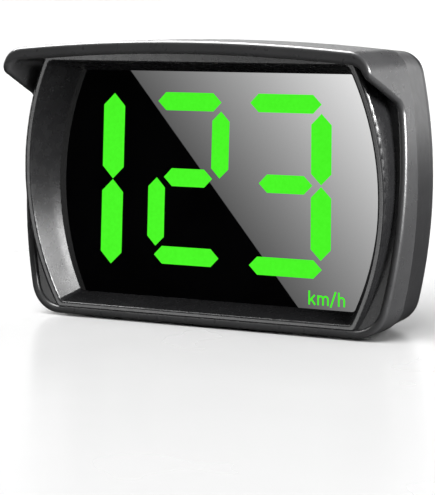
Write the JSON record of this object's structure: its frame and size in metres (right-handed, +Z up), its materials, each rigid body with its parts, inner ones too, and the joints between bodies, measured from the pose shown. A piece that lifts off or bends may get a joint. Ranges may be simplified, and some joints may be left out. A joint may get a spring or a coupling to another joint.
{
  "type": "dashboard speed display",
  "caption": "Hooded dashboard speed display with big green digits behind a smoked lens, a solar panel on its back, a charging socket, a slide switch and a mode button.",
  "frame": {"origin": "on the surface the display stands on, under the middle of its box", "axes": "+Z up, the display faces -Y, +X to the right as seen from the front"},
  "size_m": [0.1, 0.036, 0.0668],
  "materials": {
    "case_grey": "fine satin moulded ABS, dark grey",
    "rear_grey": "fine satin moulded ABS, darker grey",
    "bezel_black": "satin black moulded ABS",
    "smoked_lens": "polished smoked acrylic",
    "green_guide": "translucent light guide, lit green",
    "dark_guide": "smoked light guide, unlit",
    "white_plastic": "white reflector plastic",
    "gasket_foam": "black foam",
    "circuit_board": "green solder mask",
    "chip_black": "moulded epoxy",
    "led_yellow": "light-emitting diode",
    "bright_metal": "plated steel",
    "screw_steel": "blackened steel",
    "ceramic": "fired ceramic with a silvered top",
    "pouch_foil": "foil pouch",
    "foam_tape": "double-sided foam tape",
    "wire_red": "PVC insulation",
    "wire_black": "PVC insulation",
    "solar_silicon": "silicon cell with silver fingers",
    "clear_epoxy": "clear cast cover",
    "button_black": "satin black",
    "connector_white": "nylon",
    "pad_black": "black adhesive foam pad"
  },
  "bodies": {
    "case": {"housing_shell": "case_grey", "front_bezel": "bezel_black", "rear_cover": "rear_grey", "hundreds_segments": "green_guide", "tens_segments": "green_guide", "units_segments": "green_guide", "dark_segments": "dark_guide", "unit_legend": "green_guide", "display_lens": "smoked_lens", "lens_gasket": "gasket_foam", "segment_reflector": "white_plastic", "display_board": "circuit_board", "main_board": "circuit_board", "segment_leds": "led_yellow", "display_driver_chips": "chip_black", "light_sensor": "chip_black", "board_link_header": "chip_black", "main_board_chips": "chip_black", "gps_module_can": "bright_metal", "wire_connectors": "connector_white", "sounder": "chip_black", "mode_tact_switch": "bright_metal", "usb_c_socket": "bright_metal", "usb_c_tongue": "chip_black", "power_switch_body": "bright_metal", "gps_aerial": "ceramic", "aerial_board": "circuit_board", "battery_cell": "pouch_foil", "battery_foam_tape": "foam_tape", "solar_panel_backing": "circuit_board", "solar_cells": "solar_silicon", "solar_panel_cover": "clear_epoxy", "battery_leads": "wire_red", "solar_leads": "wire_black", "aerial_coax": "wire_black", "case_screws": "screw_steel", "display_board_screws": "bright_metal", "main_board_screws": "bright_metal", "mount_pad": "pad_black"},
    "mode_button": {"mode_button": "button_black"},
    "power_switch_knob": {"power_switch_knob": "button_black"}
  },
  "joints": [
    {"name": "mode_press", "type": "slide", "parent": "case", "child": "mode_button", "axis": [1, 0, 0], "range_m": [0, 0.0005], "stiffness_N_per_m": 2000, "springref_m": -0.0005},
    {"name": "power_slide", "type": "slide", "parent": "case", "child": "power_switch_knob", "axis": [1, 0, 0], "range_m": [0, 0.002]}
  ]
}
